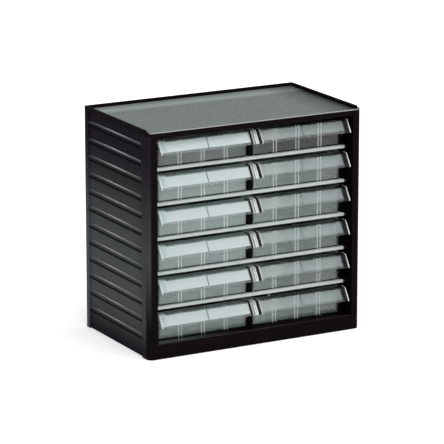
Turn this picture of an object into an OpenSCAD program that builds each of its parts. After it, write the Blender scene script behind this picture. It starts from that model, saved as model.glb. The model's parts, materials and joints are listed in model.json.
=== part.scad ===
// Parts bin cabinet: a moulded casing with sheet-metal shelves and two columns of clear drawers.
// X runs to the right, Y to the back and Z up; the origin is the middle of the casing's underside.

/* [Casing] */
// Width of the casing
casing_w = 310; // [290:1:340]
// Depth of the casing, without the drawers' hoods
casing_d = 180; // [170:1:210]
// Height of the casing, to the top of the tray rim
casing_h = 296; // [288:1:312]
// Wall of the moulded panels
panel_t = 2.5; // [2.2:0.1:2.8]
// Width of each front stile
stile_w = 12.8; // [11:0.1:14]
// Depth of each front stile, front to back
stile_d = 15; // [13:0.5:18]
// Radius of the front upright corners
front_corner_r = 8; // [5:0.5:9]
// Radius of the rear upright corners
rear_corner_r = 3; // [1:0.5:4]
// Height of the band under the lowest drawers
base_h = 20.2; // [18:0.2:24]
// Height of the band over the highest drawers
top_band_h = 9.6; // [9:0.2:11]

/* [Side beads] */
// Height of a bead
bead_h = 8; // [6:0.5:9]
// Depth of the field behind the beads
field_depth = 2.5; // [1.5:0.1:3]
// Width of the plain band in front of the beads
front_band_w = 19; // [17:0.5:24]
// Width of the plain band behind the beads
rear_band_w = 10.6; // [9:0.2:14]
// Height of the lowest bead's middle over the ground
bead_start = 26.5; // [24:0.5:28]

/* [Top tray] */
// Height of the rim over the tray floor
rim_h = 4; // [3:0.2:5]
// Width of the rim
rim_w = 4; // [3:0.2:5]
// Height of the front lip over the tray floor
lip_h = 2; // [1:0.2:2.6]
// Length of the locating tongues under the top
tongue_l = 8; // [6:0.5:10]

/* [Shelves] */
// Number of drawer rows
row_count = 6; // [4:1:6]
// Thickness of the shelf sheet
sheet_t = 1; // [0.8:0.1:1.2]
// Height of the shelf's folded front lip
fold_h = 4; // [3.6:0.1:4.4]
// Distance of the shelf lip behind the casing's front
shelf_setback = 13; // [11:0.1:14]
// Width of the ledges that carry a shelf's side edges
groove_grip = 5; // [3:0.2:6]

/* [Guides] */
// Width of the middle guide between the two columns
guide_w = 6.8; // [6:0.1:7.4]
// Height of the guides over the shelf
guide_h = 28; // [22:0.5:32]
// Distance from the guides' rear ends to the back panel
guide_rear_gap = 11.5; // [8:0.5:16]
// Radius of the pegs under a middle guide
peg_r = 1.9; // [1.5:0.1:2.2]

/* [Drawers] */
// Distance of the drawer's front wall behind the casing's front
drawer_setback = 16.5; // [15:0.1:18]
// Gap between a drawer's rim and the lip over it
drawer_top_gap = 5; // [4:0.1:6.4]
// Gap between a drawer's rear wall and the back panel
drawer_rear_gap = 3.5; // [3.2:0.1:5]
// Wall of the drawers
drawer_t = 1.5; // [1.2:0.1:1.8]
// Radius of the drawer's upright corners
drawer_corner_r = 5; // [3:0.5:6]
// Width of the rim round the drawer's top edge
drawer_rim = 1.2; // [0.8:0.1:1.5]
// Travel of a drawer
drawer_travel = 130; // [110:1:152]
// Spacing of the rib pairs on the front and back walls
rib_pair_pitch = 33; // [30:0.5:34]
// Spacing of the ribs on the side walls
side_rib_pitch = 11; // [9:0.5:16]
// Depth of the ribs on the side walls
side_rib_depth = 1; // [0.8:0.1:1.4]
// Distance between the two ribs of a pair
rib_pair_gap = 4.3; // [3.5:0.1:5]
// Depth of the ribs on the front and back walls
rib_depth = 1.6; // [1:0.1:2]

/* [Hoods] */
// How far the hood's knee stands in front of the drawer wall
hood_reach = 9.5; // [8.5:0.1:11]
// How far the hood's top falls towards the knee
hood_fall = 0.2; // [0.1:0.1:0.8]
// Outer radius of the hood's knee
knee_r = 2; // [1.6:0.2:3.6]
// Length of the sloping flap
flap_l = 18; // [16:0.1:19]
// Tilt of the flap from upright
flap_tilt = 34; // [30:0.5:37]
// Rise of the hood's end walls from the flap's lower edge back to the drawer
cheek_rise = 13.5; // [10:0.5:14]
// Gap between the outer end of a hood and the stile beside it
hood_end_gap = 5; // [3:0.5:6]
// Distance of a label's end web from the flap's end
web_inset = 6.4; // [5:0.1:8]
// Depth of the webs behind the flap
web_depth = 2.5; // [2:0.1:3]
// Thickness of a label card
card_t = 0.4; // [0.3:0.05:0.6]

/* [Back panel] */
// Spacing of the wall-fixing holes, side to side
wall_hole_dx = 240; // [200:1:250]
// Spacing of the wall-fixing holes, up and down
wall_hole_dz = 220; // [200:1:225]
// Radius of the wall-fixing holes
wall_hole_r = 2.6; // [2:0.1:3]
// Radius of the panel screws' shafts
screw_r = 1.5; // [1.2:0.1:1.7]

/* [Hidden] */
// Play between moulded pieces that are fitted together
fit_play = 0.2;
// Play between a drawer and what it runs on
run_play = 0.2;
// Play beside a hood
hood_play = 0.5;
// Play beside a drawer's body
body_play = 0.55;
// Play round a shelf's sheet in its groove, and behind a label card
sheet_play = 0.1;
// Steps in a drawn arc
arc_steps = 8;

half_w = casing_w / 2;
half_d = casing_d / 2;
front_y = -half_d;
opening_half = half_w - stile_w;
tray_z = casing_h - rim_h;
opening_top = casing_h - top_band_h;
row_pitch = (opening_top - base_h + fold_h) / row_count;
ceiling_z = opening_top + fold_h - sheet_t;
shelf_front = front_y + shelf_setback;
field_x = half_w - field_depth;
skin_x = field_x - panel_t;
field_front = front_y + front_band_w;
field_back = half_d - rear_band_w;
back_front = half_d - panel_t;
bead_count = 2 * row_count;
bead_pitch = row_pitch / 2;
bead_r = (pow(bead_h / 2, 2) + pow(field_depth, 2)) / (2 * field_depth);

col_pitch = opening_half - hood_end_gap + hood_play;
hood_w = col_pitch - 2 * hood_play;
drawer_front = front_y + drawer_setback;
drawer_back = back_front - drawer_rear_gap;
drawer_h = row_pitch - fold_h - drawer_top_gap;
body_half = (col_pitch - guide_w) / 2 - body_play;
side_guide_x = col_pitch / 2 + body_half + body_play;
guide_front = drawer_front + 0.5;
guide_back = back_front - guide_rear_gap;
guide_l = guide_back - guide_front;
rim_front = front_y + front_corner_r + 3;
tongue_w = 12;
ledge_t = 2;
weld = 0.5;
rib_t = 1;
side_rib_t = 0.8;
rib_top_gap = 6;
first_side_rib = 20;
last_side_rib = 14;
rim_t = 1.6;
stop_play = 0.6;
stop_h = drawer_top_gap + fold_h - sheet_t - run_play - stop_play;
stop_line = shelf_front + sheet_t;
stop_front = stop_line + drawer_travel + stop_play;
stop_l = 6;

knee = [drawer_front - hood_reach, drawer_h - hood_fall];
flap_dir = [-sin(flap_tilt), -cos(flap_tilt)];
flap_in = [cos(flap_tilt), -sin(flap_tilt)];
flap_end = knee + flap_l * flap_dir;
hood_root = [drawer_front + drawer_t, drawer_h];
ledge_dir = (knee - hood_root) / norm(knee - hood_root);
ledge_in = [-ledge_dir[1], ledge_dir[0]];
inward = (ledge_in + flap_in) / (1 + ledge_in * flap_in);
knee_c = knee + knee_r * inward;
bead_rod_r = 1.2;
card_gap = 0.25;
card_w = (hood_w - 2 * web_inset - 3 * drawer_t) / 2 - card_gap;
card_top_gap = 1.8;
card_h = flap_l - 2 * bead_rod_r - card_top_gap;

screw_z = [for (r = [row_count, ceil(row_count / 2), 1]) row_z(r) + guide_h / 2];
screw_x = skin_x - 4;
screw_play = 0.05;
screw_boss_r = 3.6;
screw_boss_l = 7;
screw_boss_web = 2.4;
screw_l = 8;
screw_head_r = 2.9;
screw_head_t = 1.6;

moulding = "#202022";
steel = "#d5d9d8";
clear = [0.74, 0.83, 0.81, 0.5];

SIDES = ["left", "right"];
ROWS = [1:row_count];

// Rows are counted from the top, and shelf k lies under row k.
function shelf_name(k) = str("shelf_", k);
function guide_name(r) = str("centre_guide_", r);
function drawer_name(r, s) = str("drawer_", r, "_", s);
function cards_name(r, s) = str("label_cards_", r, "_", s);
function row_z(r) = base_h + (row_count - r) * row_pitch;
function col_x(s) = (s == "left" ? -1 : 1) * col_pitch / 2;

function arc(c, r, a0, a1) = [
    for (i = [0:arc_steps]) c + r * [cos(a0 + (a1 - a0) * i / arc_steps), sin(a0 + (a1 - a0) * i / arc_steps)]
];

// ---- shared forms ----

// A Y-Z outline drawn out along X, centred on X = 0.
module along_x(w) {
    translate([-w / 2, 0, 0])
    rotate([90, 0, 90])
    linear_extrude(w)
    children();
}

module mirror_x(flip) {
    mirror([flip ? 1 : 0, 0, 0])
    children();
}

module box(low, high) {
    translate(low)
    cube(high - low);
}

// A rectangle from low to high whose four corners are round.
module round_rect(low, high, r) {
    translate([low[0] + r, low[1]])
    square([high[0] - low[0] - 2 * r, high[1] - low[1]]);
    translate([low[0], low[1] + r])
    square([high[0] - low[0], high[1] - low[1] - 2 * r]);
    for (x = [low[0] + r, high[0] - r], y = [low[1] + r, high[1] - r])
        translate([x, y])
        circle(r, $fn = 32);
}

// The casing's plan, with its large front and small rear corners; inset draws it smaller.
module casing_plan(inset) {
    front_r = front_corner_r - inset;
    rear_r = max(rear_corner_r - inset, 0.5);
    w = half_w - inset;
    d = half_d - inset;
    translate([-w, -d + front_r])
    square([2 * w, 2 * d - front_r - rear_r]);
    translate([-w + front_r, -d])
    square([2 * (w - front_r), front_r + 1]);
    translate([-w + rear_r, d - rear_r - 1])
    square([2 * (w - rear_r), rear_r + 1]);
    for (x = [-1, 1]) {
        translate([x * (w - front_r), -d + front_r])
        circle(front_r, $fn = 48);
        translate([x * (w - rear_r), d - rear_r])
        circle(rear_r, $fn = 24);
    }
}

// ---- casing ----

// Plan of the right side panel: skin with a sunk field, round front corner and boxed stile.
module side_plan() {
    difference() {
        intersection() {
            casing_plan(0);
            translate([opening_half, front_y])
            square([stile_w, casing_d]);
        }
        translate([field_x, field_front])
        square([half_w, field_back - field_front]);
        difference() {
            casing_plan(panel_t);
            translate([skin_x, field_front - panel_t])
            square([half_w, field_back - field_front + 2 * panel_t]);
            translate([0, front_y])
            square([opening_half + panel_t, stile_d]);
            translate([0, front_y + stile_d - panel_t])
            square([half_w, panel_t]);
        }
        translate([0, front_y + stile_d])
        square([skin_x, casing_d]);
        translate([0, back_front - fit_play])
        square([half_w - panel_t, casing_d]);
    }
}

// A half-round bead that stands in the sunk field, its crest level with the bands.
module side_bead(z) {
    intersection() {
        translate([half_w - bead_r, field_front - weld, z])
        rotate([-90, 0, 0])
        cylinder(r = bead_r, h = field_back - field_front + 2 * weld, $fn = 48);
        box([field_x - weld, field_front - weld, z - bead_h], [half_w + 1, field_back + weld, z + bead_h]);
    }
}

// The boxed guide that keeps a drawer straight, over the groove that holds a shelf's edge.
module side_guide(z, over_shelf) {
    y0 = front_y + stile_d - weld;
    y1 = guide_back;
    low = z + (over_shelf ? sheet_play : fit_play);
    difference() {
        box([side_guide_x, y0, low], [skin_x + weld, y1, z + guide_h]);
        box([side_guide_x + ledge_t, y0 - 1, low + ledge_t], [skin_x, y1 + 1, z + guide_h - ledge_t]);
    }
    if (over_shelf)
        box([skin_x - groove_grip, y0, z - sheet_t - sheet_play - ledge_t],
            [skin_x + weld, y1, z - sheet_t - sheet_play]);
}

module screw_boss(z) {
    difference() {
        union() {
            translate([screw_x, back_front - fit_play - screw_boss_l, z])
            rotate([-90, 0, 0])
            cylinder(r = screw_boss_r, h = screw_boss_l, $fn = 32);
            box([screw_x, back_front - fit_play - screw_boss_l, z - screw_boss_web / 2],
                [skin_x + weld, back_front - fit_play, z + screw_boss_web / 2]);
        }
        translate([screw_x, back_front - screw_boss_l - 1, z])
        rotate([-90, 0, 0])
        cylinder(r = screw_r + screw_play, h = screw_boss_l + 2, $fn = 32);
    }
}

module side_panel(flip) {
    color(moulding)
    mirror_x(flip) {
        linear_extrude(ceiling_z)
        side_plan();
        for (i = [0:bead_count - 1])
            side_bead(bead_start + i * bead_pitch);
        for (r = ROWS)
            side_guide(row_z(r), r < row_count);
        for (z = screw_z)
            screw_boss(z);
    }
}

module side_panel_left() {
    side_panel(true);
}

module side_panel_right() {
    side_panel(false);
}

// Front lip of the tray: a skirt that closes the opening's top, with a rounded upper edge.
module front_lip() {
    edge_r = 1.8;
    lip_z = tray_z + lip_h;
    along_x(2 * (opening_half - fit_play))
    polygon(concat(
        [[front_y, opening_top], [front_y + panel_t, opening_top], [front_y + panel_t, lip_z - 0.4]],
        [[front_y + panel_t - 0.4, lip_z]],
        arc([front_y + edge_r, lip_z - edge_r], edge_r, 90, 180)
    ));
}

// Plan of the low corners that join the front lip to the side rims.
module corner_plan() {
    intersection() {
        casing_plan(0);
        for (x = [-1, 1])
            mirror_x(x < 0) {
                translate([opening_half - 1, front_y])
                square([stile_w + 1, panel_t]);
                translate([half_w - rim_w, front_y])
                square([rim_w, rim_front - front_y + weld]);
            }
    }
}

// The top: a plate with the tray rim, the front lip, tongues that drop inside the side panels,
// and a rib that stops the highest drawers where the shelves' lips stop the others.
module top_panel() {
    color(moulding) {
        translate([0, 0, ceiling_z])
        linear_extrude(tray_z - ceiling_z)
        casing_plan(0);
        translate([0, 0, ceiling_z])
        linear_extrude(casing_h - ceiling_z)
        difference() {
            casing_plan(0);
            casing_plan(rim_w);
            translate([-half_w, front_y])
            square([casing_w, rim_front - front_y]);
        }
        translate([0, 0, ceiling_z])
        linear_extrude(tray_z + lip_h - ceiling_z)
        corner_plan();
        front_lip();
        box([-opening_half + fit_play, stop_line - panel_t, opening_top],
            [opening_half - fit_play, stop_line, ceiling_z + weld]);
        for (x = [-1, 1], y = [-1, 1])
            mirror_x(x < 0)
            translate([skin_x - fit_play - panel_t, y * half_d / 2 - tongue_w / 2, ceiling_z - tongue_l])
            cube([panel_t, tongue_w, tongue_l + 1]);
    }
}

// Plan of the base, stepped in at the front to pass between the stiles.
module base_plan(inset) {
    translate([-opening_half + fit_play + inset, front_y + inset])
    square([2 * (opening_half - fit_play - inset), stile_d + 2 * fit_play + 0.01]);
    translate([-skin_x + fit_play + inset, front_y + stile_d + fit_play + inset])
    square([2 * (skin_x - fit_play - inset), back_front - front_y - stile_d - 2 * fit_play - 2 * inset]);
}

module base_panel() {
    rib_w = 3;
    edge_r = 1.2;
    color(moulding)
    difference() {
        union() {
            difference() {
                linear_extrude(base_h)
                base_plan(0);
                translate([0, 0, -1])
                linear_extrude(base_h - panel_t + 1)
                base_plan(panel_t);
            }
            for (x = [-1, 0, 1])
                box([x * casing_w / 4 - rib_w / 2, front_y + 1, 0],
                    [x * casing_w / 4 + rib_w / 2, back_front - 1, base_h - 1]);
            box([-skin_x + 1, -rib_w / 2, 0], [skin_x - 1, rib_w / 2, base_h - 1]);
        }
        along_x(casing_w)
        polygon(concat(
            [[front_y - 1, base_h + 1], [front_y - 1, base_h - edge_r]],
            arc([front_y + edge_r, base_h - edge_r], edge_r, 180, 90),
            [[front_y + edge_r, base_h + 1]]
        ));
        guide_sockets(base_h);
    }
}

module back_panel() {
    panel_half = half_w - panel_t - fit_play;
    back_ledge_half = opening_half - 4;
    back_ledge_w = drawer_rear_gap - 0.7;
    color(moulding)
    difference() {
        union() {
            box([-panel_half, back_front, 0], [panel_half, half_d, ceiling_z - fit_play]);
            for (k = [1:row_count - 1])
                box([-back_ledge_half, back_front - back_ledge_w, row_z(k) - sheet_t - sheet_play - ledge_t],
                    [back_ledge_half, back_front + weld, row_z(k) - sheet_t - sheet_play]);
        }
        for (x = [-1, 1], z = screw_z)
            translate([x * screw_x, half_d, z])
            rotate([90, 0, 0])
            screw_form(screw_play * 4);
        for (x = [-1, 1], z = [-1, 1])
            translate([x * wall_hole_dx / 2, back_front - 4, casing_h / 2 + z * wall_hole_dz / 2])
            rotate([-90, 0, 0])
            cylinder(r = wall_hole_r, h = panel_t + 6, $fn = 48);
    }
}

// A countersunk screw that points along +Z, its head flush with Z = 0; play draws it fatter.
module screw_form(play) {
    translate([0, 0, -play])
    cylinder(r = screw_r + play, h = screw_l + play, $fn = 32);
    translate([0, 0, -play])
    cylinder(r1 = screw_head_r + 2 * play, r2 = screw_r + play, h = screw_head_t + play, $fn = 32);
}

// Screws through the back panel into the side panels' bosses, with crossed driver slots.
module panel_screws() {
    slot_l = 3.4;
    slot_w = 0.7;
    slot_deep = 0.9;
    color("silver")
    for (x = [-1, 1], z = screw_z)
        translate([x * screw_x, half_d, z])
        rotate([90, 0, 0])
        difference() {
            screw_form(0);
            for (a = [0, 90])
                rotate([0, 0, a])
                translate([-slot_l / 2, -slot_w / 2, -1])
                cube([slot_l, slot_w, slot_deep + 1]);
        }
}

// ---- shelves and guides ----

module guide_sockets(z) {
    for (t = [0.2, 0.8])
        translate([0, guide_front + t * guide_l, z - panel_t - 1])
        cylinder(r = peg_r + sheet_play, h = panel_t + 2, $fn = 32);
}

// Sheet shelf with a folded front lip, notched to pass between the stiles.
module shelf(k) {
    z = row_z(k);
    half_front = opening_half - fit_play;
    half_back = skin_x - fit_play;
    bend_r = sheet_t + 0.4;
    lip_end = shelf_front + stile_d;
    color(steel)
    difference() {
        union() {
            along_x(2 * half_front)
            polygon(concat(
                [[shelf_front, z - fold_h]],
                arc([shelf_front + bend_r, z - bend_r], bend_r, 180, 90),
                [[lip_end, z], [lip_end, z - sheet_t]],
                arc([shelf_front + bend_r, z - bend_r], bend_r - sheet_t, 90, 180),
                [[shelf_front + sheet_t, z - fold_h]]
            ));
            box([-half_back, front_y + stile_d + fit_play, z - sheet_t], [half_back, back_front - fit_play, z]);
        }
        guide_sockets(z);
    }
}

// Hollow rail between the two columns, with two pegs in the shelf under it.
module centre_guide(r) {
    z = row_z(r);
    wall = 1.4;
    color("#19191b") {
        difference() {
            box([-guide_w / 2, guide_front, z], [guide_w / 2, guide_back, z + guide_h]);
            box([-guide_w / 2 + wall, guide_front + wall, z + panel_t],
                [guide_w / 2 - wall, guide_back - wall, z + guide_h + 1]);
        }
        for (t = [0.2, 0.8])
            translate([0, guide_front + t * guide_l, z - sheet_t])
            cylinder(r = peg_r, h = sheet_t + 1, $fn = 32);
    }
}

// ---- drawers ----

// The hood's line at a depth under its outer face: ledge, round knee, sloping flap.
function hood_line(depth) = concat(
    [[hood_root[0], hood_root[1] + depth / ledge_in[1]]],
    depth < knee_r
        ? arc(knee_c, knee_r - depth, atan2(-ledge_in[1], -ledge_in[0]), atan2(-flap_in[1], -flap_in[0]))
        : [knee + depth * inward],
    [flap_end + depth * flap_in]
);

function reversed(list) = [for (i = [len(list) - 1:-1:0]) list[i]];

module hood_profile(depth) {
    polygon(concat(hood_line(0), reversed(hood_line(depth))));
}

module drawer_body() {
    inner = body_half - drawer_t;
    rim_half = body_half + drawer_rim;
    difference() {
        linear_extrude(drawer_h)
        round_rect([-body_half, drawer_front], [body_half, drawer_back], drawer_corner_r);
        translate([0, 0, drawer_t])
        linear_extrude(drawer_h)
        round_rect([-inner, drawer_front + drawer_t], [inner, drawer_back - drawer_t],
            drawer_corner_r - drawer_t);
    }
    translate([0, 0, drawer_h - rim_t])
    linear_extrude(rim_t)
    difference() {
        round_rect([-rim_half, drawer_front + drawer_corner_r],
            [rim_half, drawer_back + drawer_rim], drawer_corner_r + drawer_rim);
        translate([-inner, drawer_front])
        square([2 * inner, drawer_back - drawer_t - drawer_front - drawer_corner_r]);
        round_rect([-inner, drawer_front + drawer_t], [inner, drawer_back - drawer_t],
            drawer_corner_r - drawer_t);
    }
}

// Ribs in pairs on the end walls, and single ribs on the side walls, that hold loose dividers.
module divider_ribs() {
    rib_h = drawer_h - rib_top_gap;
    root = 0.2;
    inner = body_half - drawer_t;
    for (i = [-1, 0, 1], s = [-1, 1]) {
        x = i * rib_pair_pitch + s * rib_pair_gap / 2;
        box([x - rib_t / 2, drawer_front + drawer_t - root, drawer_t - root],
            [x + rib_t / 2, drawer_front + drawer_t + rib_depth, rib_h]);
        box([x - rib_t / 2, drawer_back - drawer_t - rib_depth, drawer_t - root],
            [x + rib_t / 2, drawer_back - drawer_t + root, rib_h]);
    }
    for (y = [drawer_front + first_side_rib:side_rib_pitch:drawer_back - last_side_rib], s = [-1, 1])
        box([s > 0 ? inner - side_rib_depth : -inner - root, y - side_rib_t / 2, drawer_t - root],
            [s > 0 ? inner + root : -inner + side_rib_depth, y + side_rib_t / 2, rib_h]);
}

// A web behind the flap that keeps a card from sliding sideways.
module flap_web(x) {
    low = flap_end - [web_depth, web_depth];
    high = knee + [web_depth, weld - drawer_t];
    translate([x, 0, 0])
    along_x(drawer_t)
    intersection() {
        hood_profile(drawer_t + web_depth);
        translate(low)
        square(high - low);
    }
}

// The arched lower edge of a hood's end wall, from the flap's lower edge back to the drawer.
function cheek_edge() = [
    for (i = [1:arc_steps]) let (t = i / arc_steps)
        [flap_end[0] + t * (drawer_front - flap_end[0]), flap_end[1] + sin(90 * t) * cheek_rise]
];

// An end wall of the hood, from the flap back to the drawer's front wall.
module hood_cheek(x) {
    translate([x, 0, 0])
    along_x(drawer_t)
    polygon(concat(
        hood_line(0),
        cheek_edge(),
        [[hood_root[0], flap_end[1] + cheek_rise]]
    ));
}

module hood() {
    along_x(hood_w)
    hood_profile(drawer_t);
    along_x(hood_w)
    translate(flap_end + flap_in * bead_rod_r)
    circle(bead_rod_r, $fn = 24);
    for (s = [-1, 1]) {
        hood_cheek(s * (hood_w - drawer_t) / 2);
        flap_web(s * (hood_w / 2 - web_inset - drawer_t / 2));
    }
    flap_web(0);
}

// Tabs that meet the lip over the drawer when it is pulled out.
module stop_tabs() {
    for (s = [-1, 1])
        box([s > 0 ? body_half - drawer_t : -body_half, stop_front, drawer_h - 1],
            [s > 0 ? body_half : -body_half + drawer_t, stop_front + stop_l, drawer_h + stop_h]);
}

module drawer(r, s) {
    translate([col_x(s), 0, row_z(r) + run_play])
    color(clear) {
        drawer_body();
        hood();
        divider_ribs();
        stop_tabs();
    }
}

// Two blank cards that stand on the flap's bottom bead, behind the clear flap.
module label_cards(r, s) {
    color("#eef1f0")
    translate([col_x(s), flap_end[0], row_z(r) + run_play + flap_end[1]])
    rotate([-flap_tilt, 0, 0])
    for (side = [-1, 1])
        translate([side * (drawer_t + card_gap + card_w) / 2 - card_w / 2, drawer_t + sheet_play, 2 * bead_rod_r + sheet_play])
        cube([card_w, card_t, card_h]);
}

side_panel_left();
side_panel_right();
top_panel();
base_panel();
back_panel();
panel_screws();
for (k = [1:row_count - 1])
    shelf(k);
for (r = ROWS)
    centre_guide(r);
for (r = ROWS, s = SIDES)
    drawer(r, s);
for (r = ROWS, s = SIDES)
    label_cards(r, s);
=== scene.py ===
import json
from math import cos, radians, sin

import bpy
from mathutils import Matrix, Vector


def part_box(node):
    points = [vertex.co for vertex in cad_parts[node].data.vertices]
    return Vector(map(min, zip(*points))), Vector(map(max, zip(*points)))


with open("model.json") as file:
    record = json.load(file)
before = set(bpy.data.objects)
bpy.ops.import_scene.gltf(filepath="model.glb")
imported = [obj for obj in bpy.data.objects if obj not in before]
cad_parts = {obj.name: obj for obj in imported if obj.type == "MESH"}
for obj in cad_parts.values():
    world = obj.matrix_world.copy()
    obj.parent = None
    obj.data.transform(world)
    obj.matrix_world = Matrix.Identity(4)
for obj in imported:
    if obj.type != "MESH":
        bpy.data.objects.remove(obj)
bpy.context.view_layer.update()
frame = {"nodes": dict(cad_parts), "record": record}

nodes = frame["nodes"]


# ---- Camera ----
# The cabinet is seen from its left front and a little above, from about four metres away
# through a long lens, so that its edges stay nearly parallel.
photo_px = 444
focal_px = 2994
camera_azimuth = radians(-28.68)
camera_elevation = radians(14.44)
camera_distance = 3.893
aim_right = -0.0009
aim_up = -0.0057

backward = Vector((
    sin(camera_azimuth) * cos(camera_elevation),
    -cos(camera_azimuth) * cos(camera_elevation),
    sin(camera_elevation),
))
rightward = Vector((cos(camera_azimuth), sin(camera_azimuth), 0))
upward = backward.cross(rightward)
middle = Vector((0, 0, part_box("top_panel")[1][2] / 2))
aim = middle + aim_right * rightward + aim_up * upward

camera_data = bpy.data.cameras.new("camera")
camera_data.sensor_width = 36
camera_data.lens = camera_data.sensor_width * focal_px / photo_px
camera_data.clip_start = 0.1
camera_data.clip_end = 60
camera = bpy.data.objects.new("camera", camera_data)
camera.location = aim + camera_distance * backward
camera.rotation_mode = "QUATERNION"
camera.rotation_quaternion = (-backward).to_track_quat("-Z", "Y")
bpy.context.scene.collection.objects.link(camera)
bpy.context.scene.camera = camera


# ---- Studio ----
# A plain white floor under a white surround. Lamps light the object softly from above, and
# the floor keeps the object's shadow while the picture's ground stays white.
floor_radius = 9
floor_drop = 0.0002
floor_white = 0.86
floor_lift_near = 0.34
floor_lift_far = 1.0
floor_lift_reach = (0.5, 2.2)
ambient = 0.42


class Wire:
    """A node's output. Python's operators on it add Math nodes."""

    def __init__(self, paint, socket):
        self.paint = paint
        self.socket = socket

    def __add__(self, other):
        return self.paint.maths("ADD", self, other)

    def __radd__(self, other):
        return self.paint.maths("ADD", other, self)

    def __sub__(self, other):
        return self.paint.maths("SUBTRACT", self, other)

    def __rsub__(self, other):
        return self.paint.maths("SUBTRACT", other, self)

    def __mul__(self, other):
        return self.paint.maths("MULTIPLY", self, other)

    def __rmul__(self, other):
        return self.paint.maths("MULTIPLY", other, self)

    def __truediv__(self, other):
        return self.paint.maths("DIVIDE", self, other)

    def __pow__(self, other):
        return self.paint.maths("POWER", self, other)

    def __abs__(self):
        return self.paint.maths("ABSOLUTE", self)

    def __gt__(self, other):
        return self.paint.maths("GREATER_THAN", self, other)

    def __lt__(self, other):
        return self.paint.maths("LESS_THAN", self, other)


class Paint:
    """A node tree under work. node() adds any node, its settings first and its sockets next."""

    def __init__(self, tree):
        self.tree = tree
        tree.nodes.clear()

    def node(self, kind, settings=None, sockets=None, output=0):
        made = self.tree.nodes.new("ShaderNode" + kind)
        for key, value in (settings or {}).items():
            setattr(made, key, value)
        for key, value in (sockets or {}).items():
            if isinstance(value, Wire):
                self.tree.links.new(value.socket, made.inputs[key])
            else:
                made.inputs[key].default_value = value
        return Wire(self, made.outputs[output]) if len(made.outputs) else None

    def maths(self, operation, *values):
        return self.node("Math", {"operation": operation}, dict(enumerate(values)))


def plain_material(name):
    material = bpy.data.materials.new(name)
    material.use_nodes = True
    return material, Paint(material.node_tree)


def grey(value):
    return (value, value, value, 1)


def ramp(paint, value, low, high, at_low=0, at_high=1):
    """A smooth change with value, from at_low below low to at_high above high."""
    return paint.node("MapRange", {"interpolation_type": "SMOOTHSTEP"}, {
        "Value": value, "From Min": low, "From Max": high, "To Min": at_low, "To Max": at_high})


def seen_rays(paint):
    """1 for the rays that show the studio: straight, mirrored, or through clear plastic."""
    straight = paint.node("LightPath", output="Is Camera Ray")
    mirrored = paint.node("LightPath", output="Is Glossy Ray")
    through = paint.node("LightPath", output="Is Transmission Ray")
    return paint.maths("MAXIMUM", paint.maths("MAXIMUM", straight, mirrored), through)


def soft_lamp(name, place, aim_at, size, watts):
    data = bpy.data.lights.new(name, "AREA")
    data.shape = "RECTANGLE"
    data.size, data.size_y = size
    data.energy = watts
    lamp = bpy.data.objects.new(name, data)
    lamp.location = place
    lamp.rotation_mode = "QUATERNION"
    lamp.rotation_quaternion = (Vector(aim_at) - Vector(place)).to_track_quat("-Z", "Y")
    bpy.context.scene.collection.objects.link(lamp)


bpy.ops.object.select_all(action="DESELECT")
bpy.ops.mesh.primitive_circle_add(
    vertices=96, radius=floor_radius, fill_type="NGON", location=(0, 0, -floor_drop))
floor = bpy.context.active_object
floor.name = "studio_floor"

floor_material, paint = plain_material("studio_floor")
place = paint.node("TexCoord", output="Object")
distance = paint.node("VectorMath", {"operation": "LENGTH"}, {0: place}, output="Value")
far = ramp(paint, distance, *floor_lift_reach)
lift = seen_rays(paint) * (floor_lift_near + (floor_lift_far - floor_lift_near) * far)
white = paint.node("BsdfDiffuse", None, {"Color": grey(floor_white)})
glow = paint.node("Emission", None, {"Color": lift, "Strength": 1})
both = paint.node("AddShader", None, {0: white, 1: glow})
paint.node("OutputMaterial", None, {"Surface": both})
floor.data.materials.append(floor_material)

world = bpy.data.worlds.new("studio")
world.use_nodes = True
bpy.context.scene.world = world
paint = Paint(world.node_tree)
surround = paint.node("Background", None, {
    "Color": grey(1), "Strength": ambient + (1 - ambient) * seen_rays(paint)})
paint.node("OutputWorld", None, {"Surface": surround})

soft_lamp("lamp_above", place=(0.25, -0.5, 2.0), aim_at=(0, 0, 0.15), size=(1.6, 1.2), watts=26)
soft_lamp("lamp_front", place=(-0.9, -1.8, 1.0), aim_at=(0, 0, 0.15), size=(1.0, 1.0), watts=13)
soft_lamp("lamp_behind", place=(-0.25, 1.75, 1.2), aim_at=(-0.15, 0, 0.2), size=(0.9, 0.45), watts=9)


# ---- Casing ----
# Two beaded side panels, a base and a back: injection-moulded black plastic with a fine satin
# grain. They clip and screw together, every moulded edge is slightly round, and the sides are
# greyer below the middle. A deeper black inside the shell and under the beads is painted shade.
casing_black = (0.0068, 0.0045, 0.0056, 1)
casing_lower_grey = (0.083, 0.091, 0.093, 1)
casing_top_tint = (0.0135, 0.0112, 0.0160, 1)
casing_shade_black = (0.0035, 0.0022, 0.0028, 1)
grain_size = 0.0006
grain_depth = 0.00004
sheen_patch = 0.05
casing_edge = 0.0004

hair = 0.0001  # keeps the edge of a mask clear of the face that lies there
casing_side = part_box("side_panel_right")[1][0]
casing_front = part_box("side_panel_right")[0][1]
casing_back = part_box("back_panel")[1][1]
base_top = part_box("base_panel")[1][2]
field_depth = 0.0025
panel_thickness = 0.0025
flat_place = casing_side - field_depth
inner_place = flat_place - panel_thickness
front_band = 0.019
rear_band = 0.0106
beads_front = casing_front + front_band
beads_back = casing_back - rear_band
bead_rise = 0.0016

level_face = 0.9
shade_turned_under = (-0.16, -0.01)
shaded_under = (-0.2, -0.02)
rear_band_grey = 1.1
lower_grey_patch = 0.03
lower_grey_fade = (0.12, 0.275)
foot_fade = (-0.004, 0.055)
front_fade = (casing_front, -0.04)
polish_fade = (-0.13, -0.02)


def noise(paint, size, detail=2):
    """A cloudy pattern about 0.5, with features of about this size in metres."""
    place = paint.node("TexCoord", output="Object")
    return paint.node("TexNoise", None, {"Vector": place, "Scale": 1 / size, "Detail": detail})


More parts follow.
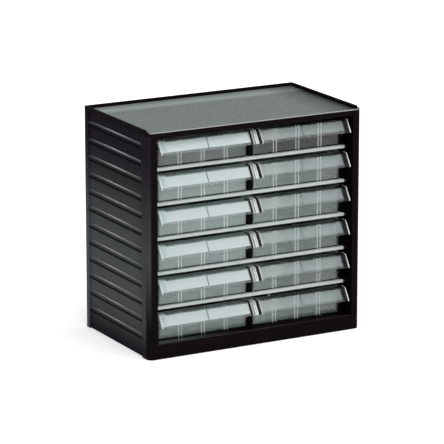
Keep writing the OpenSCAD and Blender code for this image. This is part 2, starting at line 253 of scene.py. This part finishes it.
def parts_of(paint, kind):
    """The X, Y and Z of the place or the normal on the piece."""
    vector = paint.node("TexCoord", output=kind)
    return [paint.node("SeparateXYZ", None, {0: vector}, output=axis) for axis in "XYZ"]


def between(value, low, high):
    return (value > low) * (value < high)


def blend_colours(paint, share, first, second):
    colours = {"Factor": share, "A": first, "B": second}
    return paint.node("Mix", {"data_type": "RGBA"}, colours, output="Result")


def blend_shaders(paint, share, first, second):
    return paint.node("MixShader", None, {0: share, 1: first, 2: second})


def satin(paint, colour, share):
    """Moulded plastic: matt where share is 0, satin where it is 1."""
    grain = noise(paint, grain_size, 3)
    bump = paint.node("Bump", None, {"Strength": 0.6, "Distance": grain_depth, "Height": grain})
    matt = paint.node("BsdfPrincipled", None, {
        "Base Color": colour, "Roughness": 0.6, "Specular IOR Level": 0.0, "Normal": bump})
    shine = paint.node("BsdfPrincipled", None, {
        "Base Color": colour,
        "Roughness": 0.24 + 0.12 * noise(paint, sheen_patch, 3),
        "Specular IOR Level": 0.3,
        "Normal": bump,
    })
    return blend_shaders(paint, share, matt, shine)


def dress(node, material):
    mesh = nodes[node].data
    mesh.materials.clear()
    mesh.materials.append(material)


def round_edges(node, width):
    """The CAD piece shown with its edges rounded: loose triangles joined, then bevelled."""
    piece = nodes[node]
    joined = piece.modifiers.new("joined", "WELD")
    joined.merge_threshold = 0.00001
    flat = piece.modifiers.new("flat_faces", "DECIMATE")
    flat.decimate_type = "DISSOLVE"
    flat.angle_limit = radians(1)
    bevel = piece.modifiers.new("round_edges", "BEVEL")
    bevel.width = width
    bevel.segments = 2
    bevel.limit_method = "ANGLE"
    bevel.angle_limit = radians(40)


casing_finish, paint = plain_material("casing_moulding")
x, y, z = parts_of(paint, "Object")
facing_y, facing_z = parts_of(paint, "Normal")[1:]

# Where a point is: outside on a side, on its rear band or among its beads, within the shell,
# on the under side of a bead, or on top of the base. Faces turned down, the inside of the shell
# and the under side of each bead get painted shade.
outer_side = ramp(paint, abs(x), inner_place - 5 * hair, flat_place)
outer_side = outer_side * ramp(paint, facing_z, *shade_turned_under)
on_rear_band = y > beads_back
on_beads = between(y, beads_front, beads_back)
inside = (abs(x) < inner_place - 3 * hair) * between(y, casing_front + 6 * hair, casing_back - 3 * hair)
inside = inside * (z > base_top - 3 * hair)
shaded_under_bead = on_beads * (abs(x) > flat_place + hair) * ramp(paint, facing_z, *shaded_under, 1, 0)
on_base_top = (facing_z > level_face) * (z < base_top + 5 * hair) * (abs(x) < inner_place - 3 * hair)

# The grey fades upwards, at the foot and towards the front, and is weaker on the bead crests,
# a painted shade on the beads.
foot = ramp(paint, z, *foot_fade)
patches = ramp(paint, noise(paint, lower_grey_patch, 3), 0.2, 0.8, 0.88, 1)
on_crest = on_beads * ramp(paint, abs(x), flat_place + 2 * hair, flat_place + bead_rise)
lower_grey = ramp(paint, z, *lower_grey_fade, 1, 0)
lower_grey = lower_grey * (rear_band_grey * on_rear_band + (1 - on_rear_band) * foot)
lower_grey = lower_grey * ramp(paint, y, *front_fade, 0.6, 1) * patches * (1 - 0.6 * on_crest)

# Painted shade: a deeper black inside the shell, on the base's top and under the beads.
colour = blend_colours(paint, inside + shaded_under_bead, casing_black, casing_shade_black)
colour = blend_colours(paint, outer_side, colour, casing_top_tint)
colour = blend_colours(paint, outer_side * lower_grey, colour, casing_lower_grey)
satin_share = ramp(paint, facing_z, 0.2, 0.85, 0.03, 1) + 0.5 * (facing_y > level_face)
shell = satin(paint, colour, satin_share * (1 - 0.9 * on_base_top))
polished = paint.node("BsdfPrincipled", None, {
    "Base Color": casing_shade_black, "Roughness": 0.08, "Specular IOR Level": 0.9})
polished_share = on_base_top * ramp(paint, x, *polish_fade, 1, 0.03)
surface = blend_shaders(paint, polished_share, shell, polished)
paint.node("OutputMaterial", None, {"Surface": surface})

for name in ("side_panel_left", "side_panel_right", "base_panel", "back_panel"):
    dress(name, casing_finish)
    round_edges(name, casing_edge)


# ---- Top panel ----
# The casing's lid, of the same moulding, held by tongues in the side panels. The tray floor is
# mottled grey-green; its paler back is a painted reflection and its darker right end painted
# shade. The rim is matt, and the low front lip carries a painted highlight.
tray_colour = (0.083, 0.109, 0.1, 1)
tray_dark = (0.022, 0.037, 0.033, 1)
tray_back_reflection = (0.16, 0.19, 0.185, 1)
lip_highlight_colour = (0.42, 0.43, 0.42, 1)
mottle_size = 0.0022
noise_spread = (0.3, 0.7)
sloping_face = 0.7
mount_places = {mount["name"]: mount["pos_m"] for mount in frame["record"]["mounts"]}
tray_height = mount_places["tray_floor"][2]
lip_height = 0.002
lip_width = 0.0025
back_reflection_reach = (0.045, 0.062)
shaded_end = (0.09, 0.145)

top_finish, paint = plain_material("top_moulding")
x, y, z = parts_of(paint, "Object")
facing_z = parts_of(paint, "Normal")[2]
on_floor = (facing_z > sloping_face) * (z < tray_height + 8 * hair)
on_lip_top = between(z, tray_height + 0.55 * lip_height, tray_height + 1.1 * lip_height)
# A painted highlight runs along the top of the front lip.
lip_highlight = on_lip_top * (y < casing_front + 0.7 * lip_width)
mottle = ramp(paint, noise(paint, mottle_size, 3), *noise_spread)
# Painted shade darkens the tray's right end; a painted reflection pales its back.
right_end = ramp(paint, x, *shaded_end)
floor_tone = blend_colours(paint, mottle, tray_dark, tray_colour)
floor_tone = blend_colours(paint, ramp(paint, y, *back_reflection_reach), floor_tone, tray_back_reflection)
floor_tone = blend_colours(paint, 0.6 * right_end, floor_tone, casing_black)
colour = blend_colours(paint, on_floor, casing_black, floor_tone)
colour = blend_colours(paint, 0.8 * lip_highlight, colour, lip_highlight_colour)
satin_share = 0.04 + on_floor * (0.6 - 0.2 * right_end)
paint.node("OutputMaterial", None, {"Surface": satin(paint, colour, satin_share)})

dress("top_panel", top_finish)
round_edges("top_panel", casing_edge)


# ---- Screws ----
# Six countersunk screws of zinc-plated steel hold the back panel on the side panels' bosses.
# The plating is bright and a little uneven.
screw_zinc = (0.62, 0.62, 0.6, 1)
plating_size = 0.0006

screw_finish, paint = plain_material("screw_steel")
shell = paint.node("BsdfPrincipled", None, {
    "Base Color": screw_zinc,
    "Metallic": 1,
    "Roughness": 0.28 + 0.15 * noise(paint, plating_size),
})
paint.node("OutputMaterial", None, {"Surface": shell})
dress("panel_screws", screw_finish)


# ---- Shelves ----
# Folded from one-millimetre sheet steel and stove-enamelled light grey; the lip at the front
# is what shows between the rows. Its ends, beyond the drawers, are coloured black.
shelf_grey = (0.56, 0.605, 0.6, 1)
shelf_pale = (0.64, 0.68, 0.675, 1)
enamel_size = 0.0016
enamel_depth = 0.00003
enamel_patch = 0.02
lip_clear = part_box("drawer_1_right")[1][0]


def dress_each(start, material, end=""):
    """The material goes on every node whose name starts and ends so."""
    for name in nodes:
        if name.startswith(start) and name.endswith(end):
            dress(name, material)


shelf_finish, paint = plain_material("shelf_sheet")
x = parts_of(paint, "Object")[0]
orange_peel = noise(paint, enamel_size)
patches = ramp(paint, noise(paint, enamel_patch, 3), *noise_spread)
shelf_tone = blend_colours(paint, patches, shelf_grey, shelf_pale)
shelf_tone = blend_colours(paint, abs(x) > lip_clear, shelf_tone, casing_shade_black)
bump = paint.node("Bump", None, {"Strength": 0.3, "Distance": enamel_depth, "Height": orange_peel})
shell = paint.node("BsdfPrincipled", None, {
    "Base Color": shelf_tone,
    "Roughness": 0.32 + 0.08 * orange_peel,
    "Normal": bump,
})
paint.node("OutputMaterial", None, {"Surface": shell})
dress_each("shelf_", shelf_finish)


# ---- Guides ----
# Black moulded rails, one in each row between its two drawers, pegged into the shelf or the
# base under it. They are plain plastic and hardly shine.
guide_black = (0.0025, 0.0025, 0.003, 1)
guide_patch = 0.01

guide_finish, paint = plain_material("guide_moulding")
shell = paint.node("BsdfPrincipled", None, {
    "Base Color": guide_black,
    "Roughness": 0.38 + 0.1 * noise(paint, guide_patch),
    "Specular IOR Level": 0.02,
})
paint.node("OutputMaterial", None, {"Surface": shell})
dress_each("centre_guide_", guide_finish)


# ---- Drawers ----
# One-piece injection-moulded drawers in clear polystyrene: thin walls that mirror the studio at
# their faces, veiled by fine scratches. Thick edges, such as ribs, webs and the hood's end walls
# seen edge on, stand for light gathered in the plastic and are painted white as painted highlights.
clear_tint = (0.925, 0.945, 0.94, 1)
mirror_tint = (0.97, 1, 0.99, 1)
veil_colour = (0.66, 0.785, 0.765, 1)
edge_highlight_white = (0.93, 0.95, 0.95, 1)
corner_black = 0.01
scratch_size = 0.006
mirror_straight_on = 0.045

wall = 0.0015
foot_height = 0.0017
rib_thickness = 0.001
rib_gap = 0.0043
rib_pitch = 0.033
web_inset = 0.0064
edge_line = 0.001
inner_line = 0.0034
end_width = 0.002
drawer_low, drawer_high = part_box("drawer_1_right")
column = (drawer_low[0] + drawer_high[0]) / 2
hood_half = (drawer_high[0] - drawer_low[0]) / 2
cheek_place = hood_half - wall / 2
web_place = hood_half - web_inset - wall / 2
drawer_setback = 0.0165
wall_front = casing_front + drawer_setback
row_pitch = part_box("shelf_1")[1][2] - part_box("shelf_2")[1][2]
top_row_low = base_top + 5 * row_pitch
card_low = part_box("label_cards_1_left")[0][2] - top_row_low

behind_ledge = (0.031, 0.034)
below_flap = (0.015, 0.02)
behind_wall = (wall_front + 0.006, wall_front + 0.008)
bottom_row = (0.03, 0.05)
lower_rows = (0.09, 0.13)
upper_rows = (0.2, 0.215)
light_left_to_right = (-0.03, 0.06)
ledge_span = (-0.02, 0.04)
top_wall_span = (-0.06, 0.06)


def stripe(value, middle, width):
    return abs(value - middle) < width / 2


clear_finish, paint = plain_material("clear_plastic")
x, y, z = parts_of(paint, "Object")
facing_x, facing_y, facing_z = parts_of(paint, "Normal")

# Where a point is: across its drawer, up its row, on the body or the hood, and on a side face
# or, as edge_on says, on another.
across = abs(abs(x) - column)
height = paint.maths("FRACT", (z - base_top) / row_pitch) * row_pitch
left_column = x < 0
right_column = 1 - left_column
top_row = z > top_row_low
on_body = y > wall_front - 2 * hair
on_hood = 1 - on_body
on_front_wall = on_body * (y < wall_front + 1.2 * wall)
label_zone = across < web_place
left_end = x < -column - web_place + end_width
right_end = x > column + web_place - end_width
edge_on = abs(facing_x) < 0.5

# Painted highlights: the thick edges and the walls' top rims are painted white. The ribs are
# brightest behind the flap, dimmer below it and on the rear wall, and nearly gone behind the ledge.
ribs = stripe(across, rib_gap / 2, rib_thickness)
ribs = ribs + stripe(abs(across - rib_pitch), rib_gap / 2, rib_thickness)
ribs = ribs * on_body * ramp(paint, height, *behind_ledge, 1, 0.1)
ribs = ribs * ramp(paint, y, *behind_wall, 1, 0.3) * ramp(paint, height, *below_flap, 0.6, 1)
cheeks = stripe(across, cheek_place, edge_line) * on_hood * (1 - 0.4 * left_end)
webs = stripe(across, web_place, edge_line) * on_hood * right_column * (1 - right_end)
inner_cheeks = stripe(across, cheek_place - inner_line, edge_line)
inner_cheeks = inner_cheeks * on_hood * left_column * (1 - left_end)
rims = on_body * (1 - on_front_wall) * (facing_z > level_face) * (height > 0.6 * row_pitch)
painted_highlight = edge_on * (0.95 * cheeks + 0.6 * webs + 0.55 * inner_cheeks + ribs) + 0.4 * rims

# Painted shade: the foot, the gaps at the hood's ends, the ledge, and the wall in the top row.
foot_shadow = (height < foot_height) * (facing_y < -sloping_face)
end_gap = cheek_place - web_place
end_gaps = stripe(across, web_place + end_gap / 2 + 2 * hair, end_gap - 2.2 * edge_line)
web_gaps = stripe(across, web_place, 2.4 * edge_line) * (left_column * (1 - left_end) + right_end)
end_shadow = on_hood * edge_on * (0.75 * end_gaps * right_column + 0.7 * web_gaps)
ledge_shadow = on_hood * (facing_z > sloping_face) * ramp(paint, x, *ledge_span, 0.28, 0.6)
top_shadow = top_row * on_front_wall * ramp(paint, x, *top_wall_span, 0.08, 0.3)
shadow = 0.9 * foot_shadow + end_shadow + ledge_shadow + top_shadow

# The veil of scratches is thin inside and on the hood, and stronger on the front walls and at
# the outer end of the left-hand hoods. On the front walls and hoods its strength is also painted
# light: it fades from left to right, changes from row to row and is weakest in the top row, and
# the whiter outer end of the left-hand hoods is painted light too.
scratches = ramp(paint, noise(paint, scratch_size, 4), 0.3, 0.8, 0.95, 1.06)
# Painted light: the veil changes from row to row and fades from left to right.
left_row_light = ramp(paint, z, *lower_rows, 0.62, 1) * ramp(paint, z, *upper_rows, 1.14, 1)
right_row_light = ramp(paint, z, *lower_rows, 0.8, 1) * ramp(paint, z, *bottom_row, 1.7, 1)
wall_haze_and_light = on_front_wall * (1 - 0.65 * top_row) * ramp(paint, x, *light_left_to_right, 0.34, 0.11)
wall_haze_and_light = wall_haze_and_light * (left_column * left_row_light + right_column * right_row_light)
inner_veil = on_body * (1 - on_front_wall) * 0.1
hood_haze_and_light = label_zone * ramp(paint, x, *light_left_to_right, 0.08, 0.02)
hood_haze_and_light = on_hood * edge_on * (hood_haze_and_light + 0.7 * left_end * (height > card_low))
haze_and_light = scratches * (inner_veil + wall_haze_and_light + hood_haze_and_light)

facing = paint.node("LayerWeight", None, {"Blend": 0.5}, output="Facing")
mirror_share = mirror_straight_on + (1 - mirror_straight_on) * facing ** 5
tint = paint.node("BsdfTransparent", None, {"Color": clear_tint})
gloss = paint.node("BsdfGlossy", None, {"Color": mirror_tint, "Roughness": 0.04})
scatter = paint.node("BsdfDiffuse", None, {"Color": veil_colour})
through = paint.node("BsdfTranslucent", None, {"Color": veil_colour})
haze = blend_shaders(paint, 0.35, scatter, through)
body = blend_shaders(paint, haze_and_light, tint, haze)
surface = blend_shaders(paint, mirror_share, body, gloss)
corner_shadow = paint.node("BsdfDiffuse", None, {"Color": grey(corner_black)})
surface = blend_shaders(paint, shadow, surface, corner_shadow)
# Painted highlight: white on the thick edges and the rims.
highlight_shader = paint.node("BsdfDiffuse", None, {"Color": edge_highlight_white})
surface = blend_shaders(paint, painted_highlight, surface, highlight_shader)
paint.node("OutputMaterial", None, {"Surface": surface})
dress_each("drawer_", clear_finish)


# ---- Label cards ----
# Blank cards, two to a drawer, slid in behind the flap. Those on the left are white card. Those
# on the right are a see-through film, and the ribs show through it; their greyer colour is painted
# shade. Towards the middle of the cabinet every card is painted lighter, as painted light.
card_looks = {
    "left": {"colour": (0.94, 0.955, 0.97, 1), "cover": 1.0},
    "right": {"colour": (0.8, 0.86, 0.875, 1), "cover": 0.28},
}
fibre_size = 0.0008
fibre_shade = 0.9
lit_gain = 1.22
lit_limit = 0.97
lit_place = 0.01
lit_reach = (0.01, 0.05)

for side, look in card_looks.items():
    card_finish, paint = plain_material("label_card_" + side)
    colour = look["colour"]
    darker = tuple(fibre_shade * part for part in colour[:3]) + (1,)
    lighter = tuple(min(lit_gain * part, lit_limit) for part in colour[:3]) + (1,)
    x = parts_of(paint, "Object")[0]
    tone = blend_colours(paint, noise(paint, fibre_size, 3), darker, colour)
    # Painted light: the cards are lighter towards the middle of the cabinet.
    tone = blend_colours(paint, ramp(paint, abs(x - lit_place), *lit_reach, 0.8, 0), tone, lighter)
    front = paint.node("BsdfPrincipled", None, {
        "Base Color": tone, "Roughness": 1, "Specular IOR Level": 0})
    through = paint.node("BsdfTranslucent", None, {"Color": colour})
    paper = blend_shaders(paint, 0.3, front, through)
    gap = paint.node("BsdfTransparent", None, {"Color": grey(1)})
    surface = blend_shaders(paint, look["cover"], gap, paper)
    paint.node("OutputMaterial", None, {"Surface": surface})
    dress_each("label_cards_", card_finish, side)


bpy.context.scene.view_settings.view_transform = "Standard"
